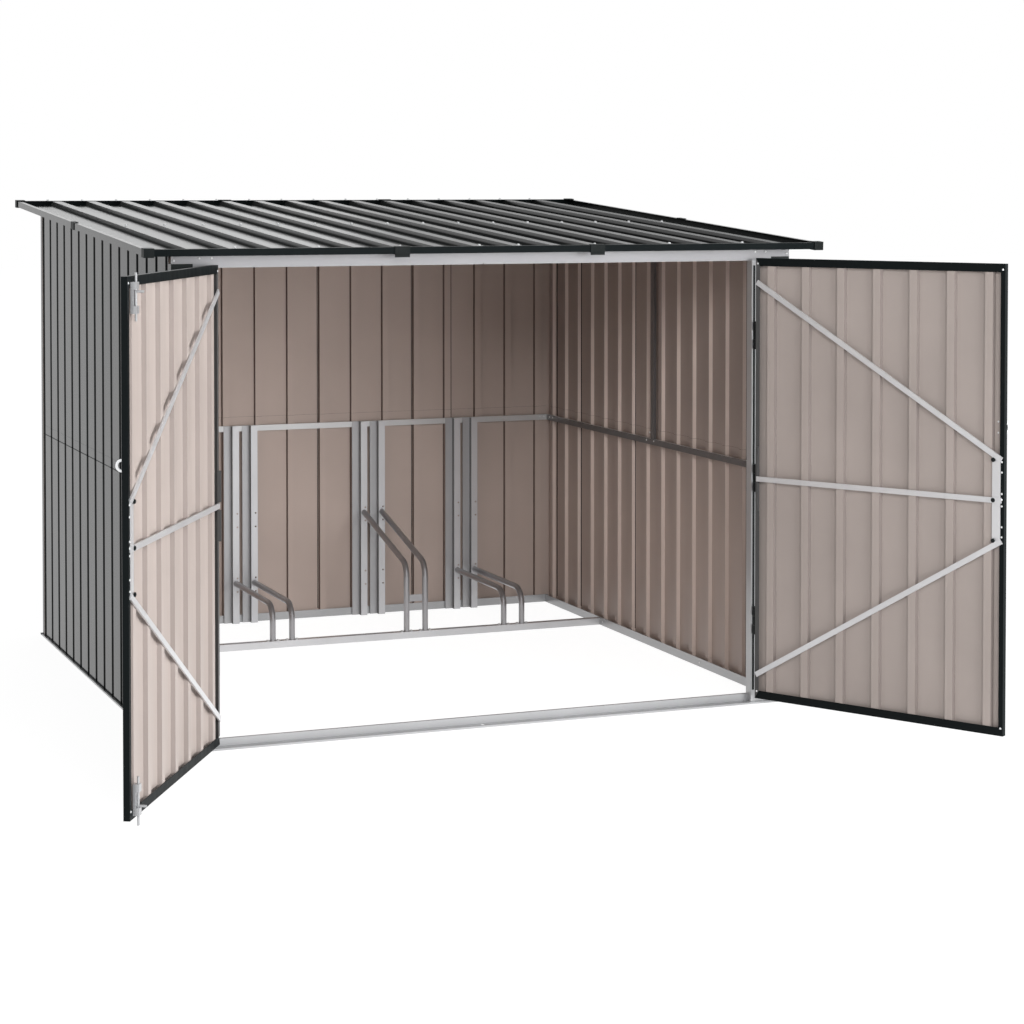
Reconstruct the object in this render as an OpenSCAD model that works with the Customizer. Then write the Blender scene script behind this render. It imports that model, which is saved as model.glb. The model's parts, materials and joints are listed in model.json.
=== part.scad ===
// Bike shelter: a flat-pack steel shed with a mono-pitch ribbed roof, two outward
// doors that stand open, and a rack that holds bicycle wheels along the back wall.
// Millimetres. +Z is up, -Y is the front, and the origin lies on the ground at the
// middle of the base frame.

/* [Base] */
// Width of the base frame along X
base_w = 2100; // [1960:1:2300]
// Depth of the base frame along Y
base_d = 2106; // [1960:1:2300]
// Width of a base rail
rail_w = 35; // [33:1:45]
// Height of a base rail's inner upstand
rail_h = 30; // [22:1:40]
// Height of a base rail's outer lip and of the sill's ledge
lip_h = 6; // [5:1:10]
// Height of the sill's raised back edge
sill_h = 29; // [22:1:40]
// Width of the sill's raised back edge
sill_step = 10; // [8:1:16]
// Gauge of the galvanised profiles
gauge = 1.5; // [1:0.1:2]
// Radius of an anchor hole in a side base rail
anchor_r = 4; // [3:0.25:4]
// Distance between the front and the back anchor holes
anchor_pitch = 1160; // [800:10:1600]

/* [Sheets] */
// Gauge of the ribbed sheets
sheet_t = 1; // [0.8:0.1:1.5]
// Distance between neighbouring ribs
rib_pitch = 131.25; // [120:0.25:140]
// Depth of a rib
rib_h = 14; // [10:1:16]
// Width of a rib's crest
rib_crest = 25; // [20:1:34]
// Width of a rib's sloping flank
rib_flank = 3; // [2:0.5:10]
// Least flat margin between a sheet's edge and its first rib
rib_margin = 3; // [2:0.5:10]
// Flat margin in front of a side wall's first rib
rib_edge = 7; // [4:0.5:20]
// Distance of the wall's outer face from the base frame's edge
wall_inset = 8; // [8:1:12]
// Height of the joint between the lower and the upper wall sheets
wall_split = 805; // [700:1:900]
// Leg of a back corner post
corner_leg = 30; // [22:1:45]

/* [Frame] */
// Drop of the header's lower edge below the eave
header_drop = 38.5; // [30:0.5:80]
// Height of the notch in the header's lower edge over a corner panel
header_notch = 13; // [6:0.5:18]
// Depth of the header and of the jamb posts
post_d = 35; // [30:1:45]
// Width of a jamb post
post_w = 70; // [50:1:80]
// Width of a front corner panel beside its jamb post
front_corner_w = 66.8; // [40:0.1:120]
// Distance of the front face of the posts from the base frame's edge
front_inset = 10; // [8:1:14]
// Drop of the mid rails below the joint of the wall sheets
mid_rail_drop = 33; // [0:1:60]
// Height of a mid rail
mid_rail_h = 22; // [16:1:30]
// Depth of a mid rail
mid_rail_d = 10; // [8:1:16]
// Leg of the rails under the roof
top_rail = 25; // [20:1:30]
// Gap at the ends of the side rails under the roof
rail_gap = 4; // [3:0.5:10]
// Gap between the back rail under the roof and the back wall
back_rail_gap = 2; // [1:0.5:6]
// Place of the roof purlin along Y
purlin_y = -33; // [-300:1:300]

/* [Roof] */
// Roof pitch in degrees
roof_pitch = 3.44; // [2:0.01:6]
// Height of the roof's bearing plane at its front edge
eave_z = 1504; // [1300:0.5:1700]
// Overhang of the roof past the front of the base frame
front_overhang = 45; // [30:1:80]
// Distance of the roof's back edge from the back of the base frame
back_inset = 13; // [5:1:13]
// Overhang of the roof past each side of the base frame
side_overhang = 85; // [50:1:110]
// Height of a roof rib
roof_rib_h = 17.5; // [12:0.5:20]
// Width of a roof rib's crest
roof_rib_crest = 32; // [20:1:40]
// Width of a roof rib's steep flank
roof_rib_flank = 3; // [2:0.5:10]
// Flange width of the edge trim
trim_flange = 14; // [8:1:20]
// Length of a corner cap along each edge
cap_len = 29; // [24:1:40]
// Wall of the corner caps
cap_wall = 3; // [2:0.5:4]
// Wall of the trim clips
clip_wall = 2; // [1.5:0.5:3]
// Length of a trim clip
clip_len = 49; // [30:1:60]

/* [Doors] */
// Lap of a closed leaf over the header
header_lap = 9.5; // [5:0.5:20]
// Gap between a closed leaf's hinge edge and the line of the jamb post
jamb_gap = 2; // [1:0.5:4]
// Height of a door's lower edge
door_z = 24; // [15:1:40]
// Thickness of a door leaf
door_t = 18; // [17:0.5:22]
// Width of a door's side trims
door_side_trim = 15; // [12:1:25]
// Width of a door's top and bottom trims
door_end_trim = 26; // [18:1:35]
// Gap between the closed leaves
door_gap = 6; // [5:0.5:10]
// Distance from the hinge pin to the leaf's edge
hinge_edge = 8; // [8:0.5:10]
// Distance from the hinge pin to the leaf's inner face
hinge_back = 12; // [11:0.5:12]
// Gap between a closed leaf and the posts
door_clear = 5; // [5:0.5:8]
// Angle at which the doors stand open
door_open = 120; // [60:1:165]
// Radius of a hinge pin
pin_r = 3; // [2:0.25:3.5]
// Outer radius of a hinge knuckle
knuckle_r = 6; // [5.5:0.25:6.5]
// Running clearance round pins and bolt rods
running = 0.05; // [0.02:0.01:0.1]
// Height of one hinge
hinge_h = 90; // [60:1:110]
// Distance of the outer hinges from a leaf's ends
hinge_inset = 254.5; // [150:0.5:350]
// Gap between neighbouring knuckles
knuckle_gap = 1; // [0.5:0.1:2]
// Width of a hinge's leaf on the jamb post
hinge_leaf_w = 26; // [18:1:40]
// Width of a door brace
brace_w = 17; // [12:1:25]
// Thickness of a door brace
brace_t = 5; // [3:0.5:8]
// Distance of a brace's end from the leaf's hinge edge
brace_hinge_end = 6; // [4:0.5:12]
// Distance of a brace's end from the leaf's free edge
brace_free_end = 8; // [6:0.5:12]
// Distance of the sloping braces' hinge ends from the leaf's ends
brace_foot = 79; // [60:1:160]
// Distance of the sloping braces' free ends from the middle brace
brace_spread = 125; // [80:1:200]
// Width of the lock plate
lock_w = 25; // [18:1:35]
// Length of the lock plate past the sloping braces' ends
lock_end = 8; // [4:1:20]
// Lap of the lock plate over the side trim
lock_lap = 3; // [2:0.5:5]
// Height of a stop block beside the middle hinge
block_h = 95; // [60:1:120]
// Width of a stop block
block_w = 6; // [4:0.5:9]
// Depth of a stop block
block_d = 10; // [6:0.5:14]
// Distance of a stop block from the leaf's middle
block_gap = 12; // [10:1:30]
// Height of the padlock lug above the leaf's middle
lug_rise = 223.5; // [150:0.5:300]
// Outer radius of the padlock lug
lug_r = 18; // [14:0.5:24]
// Thickness of the padlock lug
lug_t = 7; // [4:0.5:9]
// Distance of the padlock lug from the leaf's free edge
lug_edge = 2; // [1:0.5:6]

/* [Bolts] */
// Radius of a bolt rod
rod_r = 3.5; // [2.5:0.25:4]
// Distance of a bolt from the leaf's free edge
bolt_edge = 37; // [34:1:60]
// Distance of a rod's axis from the leaf's inner face
rod_off = 12; // [11.5:0.25:14]
// Length of a bolt's guide
guide_h = 85; // [60:1:100]
// Width of a bolt's guide
guide_w = 22; // [18:1:30]
// Wall of a bolt's guide in front of the rod
guide_wall = 2; // [1:0.5:3]
// Distance of the top guide below the header
guide_drop = 6; // [5:0.5:15]
// Distance of the bottom guide above the leaf's lower edge
guide_rise = 8; // [0:0.5:20]
// Length of a rod behind its guide
rod_tail = 20; // [10:1:40]
// Length of a bolt's knob from the rod's axis
knob_len = 22; // [15:1:30]
// Distance of a knob from the outer end of its guide
knob_place = 25.5; // [23:0.5:30]
// Play round a rod in its keeper hole
keeper_play = 4; // [2:0.5:6]
// Rod tip above the leaf's top
top_throw = 9; // [5:1:20]
// Rod tip below the leaf's bottom
bottom_throw = 19; // [10:1:20]

/* [Rack] */
// Distance of the inner wheel holders from the middle
holder_inner = 262; // [200:1:300]
// Distance of the outer wheel holders from the middle
holder_outer = 656; // [550:1:720]
// Distance between a holder's two tubes
tube_gap = 74; // [60:1:90]
// Radius of a holder tube
tube_r = 11; // [8:0.5:13]
// Bend radius of a holder tube
bend_r = 60; // [40:1:80]
// Height of the low holders
low_z = 158; // [140:1:200]
// Height of the high holders at the uprights
high_z = 411; // [360:1:460]
// Fall of the high holders in degrees
high_fall = 14.5; // [8:0.5:20]
// Place of the tube feet along Y
foot_y = 472; // [380:1:560]
// Height of the floor rail that carries the feet
floor_rail_h = 25; // [12:1:30]
// Width of the floor rail
floor_rail_w = 30; // [26:1:40]
// Width of an upright's front strip
strip_w = 26; // [24:1:30]
// Depth of an upright
upright_d = 24; // [16:1:30]
// Width of an upright's back flange
upright_flange = 31; // [20:1:36]
// Radius of the holes in the uprights
strip_hole_r = 3.5; // [2.5:0.25:5]
// Distance of those holes from the strip's free edge
strip_hole_edge = 7.8; // [6:0.1:12]
// Place of the hole below a holder's height
hole_below = 33; // [25:1:45]
// Place of the hole above a holder's height
hole_above = 20; // [15:1:45]
// Height of the tie plate between a high holder's legs
tie_z = 150; // [100:1:200]
// Width of the tie plate along Z
tie_h = 26; // [16:1:40]
// Thickness of the tie plate
tie_t = 3; // [2:0.5:5]

/* [Hidden] */
$fn = 48;

galvanised = [0.70, 0.71, 0.72];
anthracite = [0.16, 0.18, 0.18];
beige = [0.74, 0.69, 0.66];
black = [0.05, 0.05, 0.05];
seam = 0.4;
fit = 0.2;
big = 4000;

// Faces of the base, the walls and the front
base_x = base_w / 2;
base_y = base_d / 2;
wall_x = base_x - wall_inset;
wall_back_y = base_y - rail_w / 2;
crest_x = wall_x - rib_h;
crest_back_y = wall_back_y - rib_h;
front_y = -base_y + front_inset;
post_back_y = front_y + post_d;
sill_back_y = post_back_y;
sill_step_y = sill_back_y - sill_step;
sill_end_x = wall_x - gauge - fit;
anchor_x = base_x - rail_w + gauge + (crest_x - base_x + rail_w - gauge) / 2;
mid_rail_z = wall_split - mid_rail_drop;
wall_drop = gauge + fit;

// Roof plane: y runs up the slope from the front edge
roof_y = -base_y - front_overhang;
roof_x = base_x + side_overhang;
roof_depth = base_d + front_overhang - back_inset;
roof_len = roof_depth / cos(roof_pitch);
trim_low = -gauge;
trim_high = sheet_t + roof_rib_h + gauge;
roof_inner = roof_x - gauge - fit;
roof_rib_half = roof_rib_crest / 2 + roof_rib_flank;
clip_x = 2.5 * rib_pitch;
roof_joint = clip_x + roof_rib_half + rib_margin;
back_lip = (base_y - back_inset - wall_back_y) / cos(roof_pitch) - seam - fit;
header_z = eave_z - header_drop;
function bearing_z(y) = eave_z + (y - roof_y) * tan(roof_pitch);
function along_slope(y) = (y - roof_y) / cos(roof_pitch);

// Door hinges and leaf: the leaves fill the opening between the jamb posts
jamb_x = wall_x - front_corner_w - fit - post_w;
door_w = jamb_x - jamb_gap - door_gap / 2;
door_h = header_z + header_lap - door_z;
hinge_y = front_y - door_clear - hinge_back;
hinge_x = door_gap / 2 + door_w + hinge_edge;
leaf_y = -hinge_back;
door_mid = door_z + door_h / 2;
door_top = door_z + door_h;
hinge_zs = [door_z + hinge_inset, door_mid, door_top - hinge_inset];
knuckle_pitch = hinge_h / 3;
knuckle_h = knuckle_pitch - knuckle_gap;
free_s = hinge_edge + door_w;
bolt_s = free_s - bolt_edge;
rod_y = leaf_y - rod_off;
keeper_x = bolt_s - hinge_x;
keeper_y = hinge_y - rod_y;
guide_top = header_z - guide_drop;
guide_foot = door_z + guide_rise;

// Rack
strip_y = crest_back_y - mid_rail_d - upright_d;
holder_xs = [-holder_outer, -holder_inner, holder_inner, holder_outer];
strip_holes = [for (z = [low_z, high_z]) each [z - hole_below, z + hole_above]];

// Side and back walls
side_y0 = post_back_y + seam;
side_y1 = wall_back_y;
side_len = side_y1 - side_y0;
back_half = crest_x - sheet_t;
rib_half = rib_crest / 2 + rib_flank;

// A ribbed strip of sheet under the given rib centres, with its flat pans at y = 0
// and its ribs standing to +depth. The upper face is widened so that a steep flank
// keeps the gauge of the sheet.
function rib_points(c, depth, crest, flank) = [
    [c - crest / 2 - flank, 0], [c - crest / 2, depth],
    [c + crest / 2, depth], [c + crest / 2 + flank, 0]
];
function rib_centres(width, first) = [
    for (c = [first : rib_pitch : width])
        if (c > rib_half + rib_margin && c < width - rib_half - rib_margin) c
];
function mid_first(width) = width / 2 - rib_pitch * (floor(width / 2 / rib_pitch) + 0.5);
module ribbed_strip(x0, x1, centres, depth, crest = rib_crest, flank = rib_flank) {
    grow = sheet_t * tan(atan2(depth, flank) / 2);
    ribs = [for (c = centres) each rib_points(c, depth, crest, flank)];
    wide = [for (c = centres) each rib_points(c, depth, crest + 2 * grow, flank)];
    low = concat([[x0, 0]], ribs, [[x1, 0]]);
    high = [for (p = concat([[x0, 0]], wide, [[x1, 0]])) p + [0, sheet_t]];
    polygon(concat(low, [for (i = [len(high) - 1 : -1 : 0]) high[i]]));
}

// Places children in the sloping roof plane, with y = 0 at the front edge
module on_roof() {
    translate([0, roof_y, eave_z]) rotate([roof_pitch, 0, 0]) children();
}
module below_roof(drop = 0) {
    difference() {
        children();
        on_roof() translate([-big / 2, -big / 2, -drop]) cube([big, 2 * big, big]);
    }
}
module both_sides() {
    children();
    mirror([1, 0, 0]) children();
}
module box(low, high) {
    translate(low) cube(high - low);
}
module along_x(x0, x1) {
    translate([x0, 0, 0]) rotate([90, 0, 90]) linear_extrude(x1 - x0) children();
}
module along_y(y0, y1) {
    translate([0, y1, 0]) rotate([90, 0, 0]) linear_extrude(y1 - y0) children();
}

// A standing sheet along X, with its pans outside at y = 0 and ribs to -y
module standing_sheet(width, first, z0, z1) {
    translate([0, 0, z0]) linear_extrude(z1 - z0) mirror([0, 1]) {
        ribbed_strip(0, width, rib_centres(width, first), rib_h - sheet_t);
    }
}

// Base frame
module sill_section() {
    y0 = -base_y;
    difference() {
        union() {
            translate([y0, 0]) square([sill_step_y - y0, lip_h]);
            translate([sill_step_y, 0]) square([sill_back_y - sill_step_y, sill_h]);
        }
        translate([y0 + gauge, -1]) square([sill_step_y - y0, lip_h - gauge + 1]);
        translate([sill_step_y + gauge, -1]) {
            square([sill_back_y - sill_step_y - 2 * gauge, sill_h - gauge + 1]);
        }
    }
}
module keeper_hole(z, depth) {
    translate([keeper_x, keeper_y, z - 1]) cylinder(r = rod_r + keeper_play, h = depth + 2);
}
module front_sill() color(galvanised) {
    difference() {
        along_x(-base_x, base_x) sill_section();
        both_sides() box([sill_end_x, sill_step_y, -1], [base_x + 1, sill_back_y + 1, sill_h + 1]);
        keeper_hole(0, lip_h);
    }
}
module rail_section(inner, outer) {
    difference() {
        translate([inner, 0]) square([outer - inner, rail_h]);
        translate([inner + gauge, gauge]) square([outer - inner - 2 * gauge, rail_h]);
        translate([outer - 2 * gauge, lip_h]) square([3 * gauge, rail_h]);
    }
}
module side_base_rails() color(galvanised) {
    both_sides() difference() {
        along_y(sill_back_y + seam, base_y - rail_w - seam) rail_section(base_x - rail_w, base_x);
        for (end = [-1, 1]) translate([anchor_x, end * anchor_pitch / 2, -1]) {
            cylinder(r = anchor_r, h = gauge + 2);
        }
    }
}
module back_base_rail() color(galvanised) {
    difference() {
        along_x(-base_x, base_x) rail_section(base_y - rail_w, base_y);
        both_sides() {
            box([crest_x - 1, base_y - rail_w - 1, gauge], [base_x + 1, base_y - 2 * gauge, rail_h + 1]);
        }
    }
}
module rack_floor_rail() color(galvanised) {
    x1 = base_x - rail_w - seam;
    along_x(-x1, x1) translate([foot_y - floor_rail_w / 2, 0]) difference() {
        square([floor_rail_w, floor_rail_h]);
        translate([gauge, -1]) square([floor_rail_w - 2 * gauge, floor_rail_h - gauge + 1]);
    }
}

// Walls
module side_wall(z0, z1) {
    translate([wall_x, side_y0, z0]) rotate([0, 0, 90]) {
        linear_extrude(z1 - z0) {
            ribbed_strip(0, side_len, rib_centres(side_len, rib_half + rib_edge), rib_h - sheet_t);
        }
    }
}
module right_wall_lower() color(anthracite) side_wall(gauge, wall_split - seam);
module right_wall_upper() color(anthracite) below_roof(wall_drop) side_wall(wall_split, big / 2);
module left_wall_lower() color(anthracite) mirror([1, 0, 0]) side_wall(gauge, wall_split - seam);
module left_wall_upper() color(anthracite) mirror([1, 0, 0]) {
    below_roof(wall_drop) side_wall(wall_split, big / 2);
}
module back_wall(z0, z1) {
    width = 2 * back_half;
    translate([-back_half, wall_back_y, 0]) standing_sheet(width, mid_first(width), z0, z1);
}
module back_wall_lower() color(anthracite) back_wall(gauge, wall_split - seam);
module back_wall_upper() color(anthracite) below_roof(wall_drop) back_wall(wall_split, big / 2);
module back_corner_posts() color(anthracite) {
    x1 = wall_x + gauge;
    y1 = wall_back_y + gauge;
    both_sides() below_roof(wall_drop) difference() {
        box([x1 - corner_leg, y1 - corner_leg, gauge], [x1, y1, big / 2]);
        box([0, 0, 0], [wall_x, wall_back_y, big / 2]);
    }
}

// Frame
module mid_rail_section() {
    difference() {
        square([mid_rail_d, mid_rail_h]);
        translate([gauge, gauge]) square([mid_rail_d, mid_rail_h - 2 * gauge]);
    }
}
module wall_mid_rails() color(galvanised) {
    z0 = mid_rail_z - mid_rail_h;
    y1 = crest_back_y - mid_rail_d - seam;
    both_sides() along_y(side_y0, y1) translate([crest_x - mid_rail_d, z0]) mid_rail_section();
    along_x(-crest_x, crest_x) translate([crest_back_y - mid_rail_d, z0]) mid_rail_section();
}
module jamb_posts() color(galvanised) {
    both_sides() difference() {
        translate([jamb_x, front_y, lip_h]) linear_extrude(header_z - lip_h) difference() {
            square([post_w, post_d]);
            translate([gauge, gauge]) square([post_w, post_d - 2 * gauge]);
        }
        box([0, sill_step_y - fit, 0], [base_x, sill_back_y + 1, sill_h]);
    }
}
module front_corner_panels() color(anthracite) {
    x0 = jamb_x + post_w + fit;
    top = header_z + header_notch - fit;
    both_sides() translate([0, 0, lip_h]) linear_extrude(top - lip_h) difference() {
        translate([x0, front_y]) square([wall_x - x0, sill_back_y - front_y]);
        translate([x0 - 1, front_y + gauge]) square([wall_x - x0 + 1 - gauge, sill_back_y - front_y]);
    }
}
module header_section() {
    top = bearing_z(front_y) - fit;
    translate([front_y, header_z]) difference() {
        square([post_d, top - header_z]);
        translate([gauge, gauge]) square([post_d, top - header_z - 2 * gauge]);
    }
}
module front_header() color(galvanised) {
    difference() {
        along_x(-wall_x, wall_x) header_section();
        both_sides() {
            box([jamb_x + post_w, front_y - 1, header_z - 1],
                [base_x, post_back_y + 1, header_z + header_notch]);
        }
        keeper_hole(header_z, gauge);
    }
}
module angle_section(leg) {
    difference() {
        square([leg, leg]);
        translate([gauge, -1]) square([leg, leg - gauge + 1]);
    }
}
module side_top_rails() color(galvanised) {
    y0 = along_slope(post_back_y) + rail_gap;
    y1 = along_slope(crest_back_y) - top_rail - rail_gap;
    both_sides() on_roof() along_y(y0, y1) {
        translate([crest_x, -top_rail]) mirror([1, 0]) angle_section(top_rail);
    }
}
module back_top_rail() color(galvanised) {
    y1 = along_slope(crest_back_y) - back_rail_gap;
    x1 = crest_x - seam;
    on_roof() along_x(-x1, x1) translate([y1, -top_rail]) mirror([1, 0]) angle_section(top_rail);
}
module roof_purlin() color(galvanised) {
    x1 = crest_x - top_rail - seam;
    on_roof() along_x(-x1, x1) {
        translate([along_slope(purlin_y), -top_rail]) angle_section(top_rail);
    }
}
module wall_studs() color(galvanised) {
    both_sides() intersection() {
        translate([crest_x - mid_rail_d, purlin_y, mid_rail_z]) {
            linear_extrude(big / 2) difference() {
                square([mid_rail_d, top_rail]);
                translate([gauge, gauge]) square([mid_rail_d, top_rail]);
            }
        }
        on_roof() translate([0, 0, -top_rail - seam - big]) cube([big, big, big]);
    }
}

// Roof
module roof_sheet(x0, x1) {
    last = ceil(roof_x / rib_pitch);
    edge = roof_rib_half + rib_margin / 2;
    centres = [
        for (n = [-last : last])
            let(c = (n + 0.5) * rib_pitch) if (c > x0 + edge && c < x1 - edge) c
    ];
    margin = gauge + fit;
    on_roof() along_y(margin, roof_len - margin) {
        ribbed_strip(x0, x1, centres, roof_rib_h, roof_rib_crest, roof_rib_flank);
    }
}
module roof_panel_left() color(anthracite) roof_sheet(-roof_inner, -roof_joint - seam);
module roof_panel_middle() color(anthracite) roof_sheet(-roof_joint, roof_joint);
module roof_panel_right() color(anthracite) roof_sheet(roof_joint + seam, roof_inner);
module trim_section() {
    difference() {
        translate([0, trim_low]) square([trim_flange, trim_high - trim_low]);
        translate([gauge, 0]) square([trim_flange, trim_high - gauge]);
    }
}
module roof_front_trim() color(anthracite) {
    on_roof() along_x(-roof_x, roof_x) trim_section();
}
module roof_back_trim() color(anthracite) {
    on_roof() along_x(-roof_x, roof_x) translate([roof_len, 0]) mirror([1, 0]) trim_section();
}
module roof_side_trims() color(anthracite) {
    both_sides() on_roof() along_y(trim_flange + seam, roof_len - trim_flange - seam) {
        translate([roof_x, 0]) mirror([1, 0]) trim_section();
    }
}
module cap_shell() {
    z0 = trim_low - fit;
    z1 = trim_high + fit;
    reach = fit + cap_wall;
    difference() {
        box([-cap_len, -cap_len, z0 - cap_wall], [reach, reach, z1 + cap_wall]);
        box([-cap_len - 1, -cap_len - 1, z0], [fit, fit, z1]);
    }
}
module roof_corner_caps() color(black) {
    both_sides() on_roof() {
        translate([roof_x, roof_len, 0]) cap_shell();
        translate([roof_x, 0, 0]) mirror([0, 1, 0]) cap_shell();
    }
}

// A clip over a joint in the edge trim, with a lower lip of the given depth
module edge_clip(lip) {
    z0 = trim_low - fit;
    z1 = trim_high + fit;
    half = clip_len / 2;
    difference() {
        box([-half, -clip_wall - fit, z0 - clip_wall], [half, trim_flange, z1 + clip_wall]);
        box([-half - 1, -fit, z0], [half + 1, trim_flange + 1, z1]);
        box([-half - 1, lip, z0 - clip_wall - 1], [half + 1, trim_flange + 1, z1]);
    }
}
module roof_trim_clips() color(black) {
    both_sides() on_roof() {
        translate([clip_x, 0, 0]) edge_clip(trim_flange);
        translate([clip_x, roof_len, 0]) mirror([0, 1, 0]) edge_clip(back_lip);
        translate([roof_x, along_slope(purlin_y), 0]) rotate([0, 0, 90]) edge_clip(trim_flange);
    }
}

// Wheel rack
module upright() {
    hole_x = strip_w / 2 - strip_hole_edge;
    difference() {
        linear_extrude(mid_rail_z) {
            translate([-strip_w / 2, 0]) square([strip_w, gauge]);
            translate([-strip_w / 2, 0]) square([gauge, upright_d]);
            translate([-strip_w / 2 - upright_flange + gauge, upright_d - gauge]) {
                square([upright_flange, gauge]);
            }
        }
        for (z = strip_holes) translate([hole_x, -1, z]) rotate([-90, 0, 0]) {
            cylinder(r = strip_hole_r, h = gauge + 2);
        }
    }
}
module rack_uprights() color(galvanised) {
    for (x = holder_xs, side = [-1, 1]) {
        translate([x + side * tube_gap / 2, strip_y, 0]) upright();
    }
}
module holder_tube(z, fall) {
    corner_z = z - (strip_y - foot_y) * tan(fall);
    tangent = bend_r * tan((90 - fall) / 2);
    reach = (strip_y - foot_y) / cos(fall) - tangent;
    leg = corner_z - tangent - floor_rail_h - running;
    bend = 90 - fall;
    difference() {
        rotate([90, 0, 90]) translate([foot_y + bend_r, corner_z - tangent, 0]) {
            rotate([0, 0, 90 + fall]) {
                rotate_extrude(angle = bend) translate([bend_r, 0]) circle(tube_r);
                translate([bend_r, 0, 0]) rotate([90, 0, 0]) cylinder(r = tube_r, h = reach + tube_r);
                rotate([0, 0, bend]) translate([bend_r, 0, 0]) rotate([-90, 0, 0]) {
                    cylinder(r = tube_r, h = leg);
                }
            }
        }
        translate([-big / 2, strip_y, -big / 2]) cube(big);
    }
}
module holder(x, z, fall) {
    for (side = [-1, 1]) translate([x + side * tube_gap / 2, 0, 0]) holder_tube(z, fall);
}
module low_wheel_holders() color(galvanised) {
    for (n = [1, 3]) holder(holder_xs[n], low_z, 0);
}
module high_wheel_holders() color(galvanised) {
    for (n = [0, 2]) {
        holder(holder_xs[n], high_z, high_fall);
        translate([holder_xs[n], foot_y, tie_z]) cube([tube_gap - tube_r, tie_t, tie_h], center = true);
    }
}

// Hinges: the pin and the outer knuckles belong to the jamb
module jamb_hinges() color(black) {
    reach = front_y - hinge_y;
    both_sides() for (z = hinge_zs) translate([hinge_x, hinge_y, z]) {
        translate([0, 0, -hinge_h / 2]) cylinder(r = pin_r, h = hinge_h);
        for (end = [-1, 1]) translate([0, 0, end * knuckle_pitch]) {
            cylinder(r = knuckle_r, h = knuckle_h, center = true);
            translate([-gauge / 2, 0, -knuckle_h / 2]) {
                cube([gauge, reach, knuckle_h]);
                translate([0, reach - gauge, 0]) cube([hinge_leaf_w, gauge, knuckle_h]);
            }
        }
    }
}

// Doors: modelled along +X from the hinge pin, inner face to -Y, right hand
module right_door_place() {
    translate([hinge_x, hinge_y, 0]) rotate([0, 0, 180 + door_open]) children();
}
module left_door_place() {
    mirror([1, 0, 0]) right_door_place() children();
}
module door_frame() {
    y0 = leaf_y;
    y1 = leaf_y + door_t;
    trim_s = hinge_edge + door_side_trim;
    difference() {
        box([hinge_edge, y0, door_z], [free_s, y1, door_top]);
        box([trim_s, y0 - 1, door_z + door_end_trim],
            [free_s - door_side_trim, y1 + 1, door_top - door_end_trim]);
        box([hinge_edge + gauge, y0 + gauge, door_z + gauge],
            [free_s - gauge, y1 - gauge, door_top - gauge]);
    }
    for (z = [door_mid + block_gap, door_mid - block_gap - block_h]) {
        box([trim_s - block_w, y0 - block_d, z], [trim_s, y0, z + block_h]);
    }
}
module door_sheet() {
    margin = gauge + fit;
    width = door_w - 2 * margin;
    first = mid_first(width) + rib_pitch / 2;
    translate([hinge_edge + margin, leaf_y + door_t - margin, 0]) {
        standing_sheet(width, first, door_z + margin, door_top - margin);
    }
}
module bar(p0, p1) {
    run = p1 - p0;
    translate(p0) rotate(atan2(run[1], run[0])) {
        translate([0, -brace_w / 2]) square([norm(run), brace_w]);
    }
}
module on_inner_face(thickness) {
    translate([0, leaf_y, 0]) rotate([90, 0, 0]) linear_extrude(thickness) children();
}
module door_bracing() {
    s0 = hinge_edge + brace_hinge_end;
    s1 = free_s - brace_free_end;
    plate_s = free_s - door_side_trim - lock_w;
    plate_h = 2 * (brace_spread + lock_end);
    on_inner_face(brace_t) {
        bar([s0, door_top - brace_foot], [s1, door_mid + brace_spread]);
        bar([s0, door_mid], [s1, door_mid]);
        bar([s0, door_z + brace_foot], [s1, door_mid - brace_spread]);
    }
    on_inner_face(gauge) translate([plate_s, door_mid - plate_h / 2]) square([lock_w + lock_lap, plate_h]);
}
module door_hinge_leaves() {
    for (z = hinge_zs) translate([0, 0, z]) difference() {
        union() {
            cylinder(r = knuckle_r, h = knuckle_h, center = true);
            translate([0, -gauge, -knuckle_h / 2]) cube([hinge_edge, 2 * gauge, knuckle_h]);
            translate([hinge_edge - gauge, leaf_y, -hinge_h / 2]) cube([gauge, door_t, hinge_h]);
        }
        cylinder(r = pin_r + running, h = hinge_h, center = true);
    }
}
module door_lug() {
    translate([free_s - lug_t - lug_edge, leaf_y + door_t, door_mid + lug_rise]) {
        rotate([0, 90, 0]) difference() {
            cylinder(r = lug_r, h = lug_t);
            translate([0, 0, -1]) cylinder(r = lug_r - lug_t, h = lug_t + 2);
            translate([-big / 2, -big, -1]) cube([big, big, lug_t + 2]);
        }
    }
}

// Bolts of the left leaf: a rod with a knob that slides in a guide with a window
module bolt_guide(z0) {
    half = guide_w / 2;
    front = rod_y - rod_r - guide_wall;
    bridge = guide_h / 4;
    difference() {
        box([bolt_s - half, front, z0], [bolt_s + half, leaf_y, z0 + guide_h]);
        translate([bolt_s, rod_y, z0 - 1]) cylinder(r = rod_r + running, h = guide_h + 2);
        box([bolt_s - half - 1, front - 1, z0 + bridge],
            [bolt_s + half + 1, rod_y + rod_r + guide_wall / 2, z0 + guide_h - bridge]);
    }
}
module bolt_rod(z0, z1, knob_z) {
    translate([bolt_s, rod_y, z0]) cylinder(r = rod_r, h = z1 - z0);
    translate([bolt_s, rod_y, knob_z]) rotate([90, 0, 0]) cylinder(r = rod_r, h = knob_len);
}
module left_door_bolt_guides() color(galvanised) left_door_place() {
    bolt_guide(guide_top - guide_h);
    bolt_guide(guide_foot);
}
module top_bolt() color(galvanised) left_door_place() {
    bolt_rod(guide_top - guide_h - rod_tail, door_top + top_throw, guide_top - knob_place);
}
module bottom_bolt() color(galvanised) left_door_place() {
    bolt_rod(door_z - bottom_throw, guide_foot + guide_h + rod_tail, guide_foot + knob_place);
}
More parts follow.
